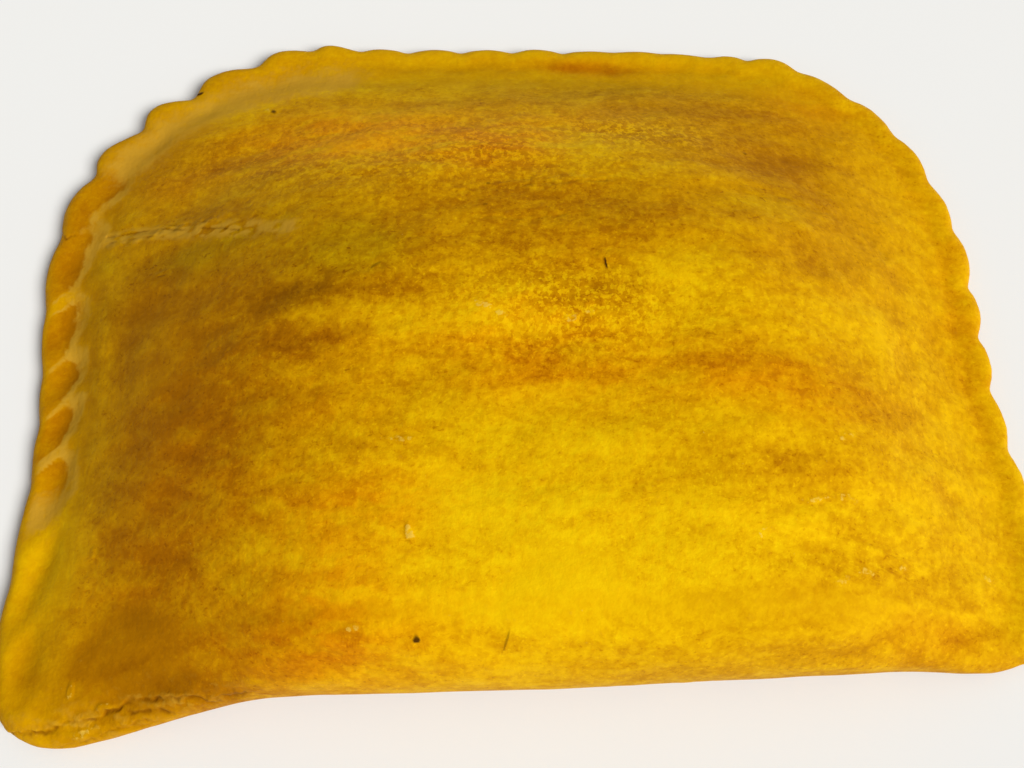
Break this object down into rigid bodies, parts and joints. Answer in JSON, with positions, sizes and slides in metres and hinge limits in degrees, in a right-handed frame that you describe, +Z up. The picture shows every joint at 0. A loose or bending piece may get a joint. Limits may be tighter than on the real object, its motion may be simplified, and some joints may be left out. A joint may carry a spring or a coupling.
{
  "type": "jamaican patty",
  "caption": "Baked half-moon turnover of yellow flaky pastry, folded along one long edge, with a flat fluted seal round the other sides and a browned, gently domed top.",
  "frame": {"origin": "middle of the outline at the flat base that the patty rests on", "axes": "+X along the fold, towards the end without the long ear; +Y from the fold to the far fluted edge; +Z up, through the dome"},
  "size_m": [0.1548, 0.1182, 0.024],
  "materials": {
    "pastry": "satin"
  },
  "bodies": {
    "root": {"patty": "pastry"}
  },
  "joints": []
}
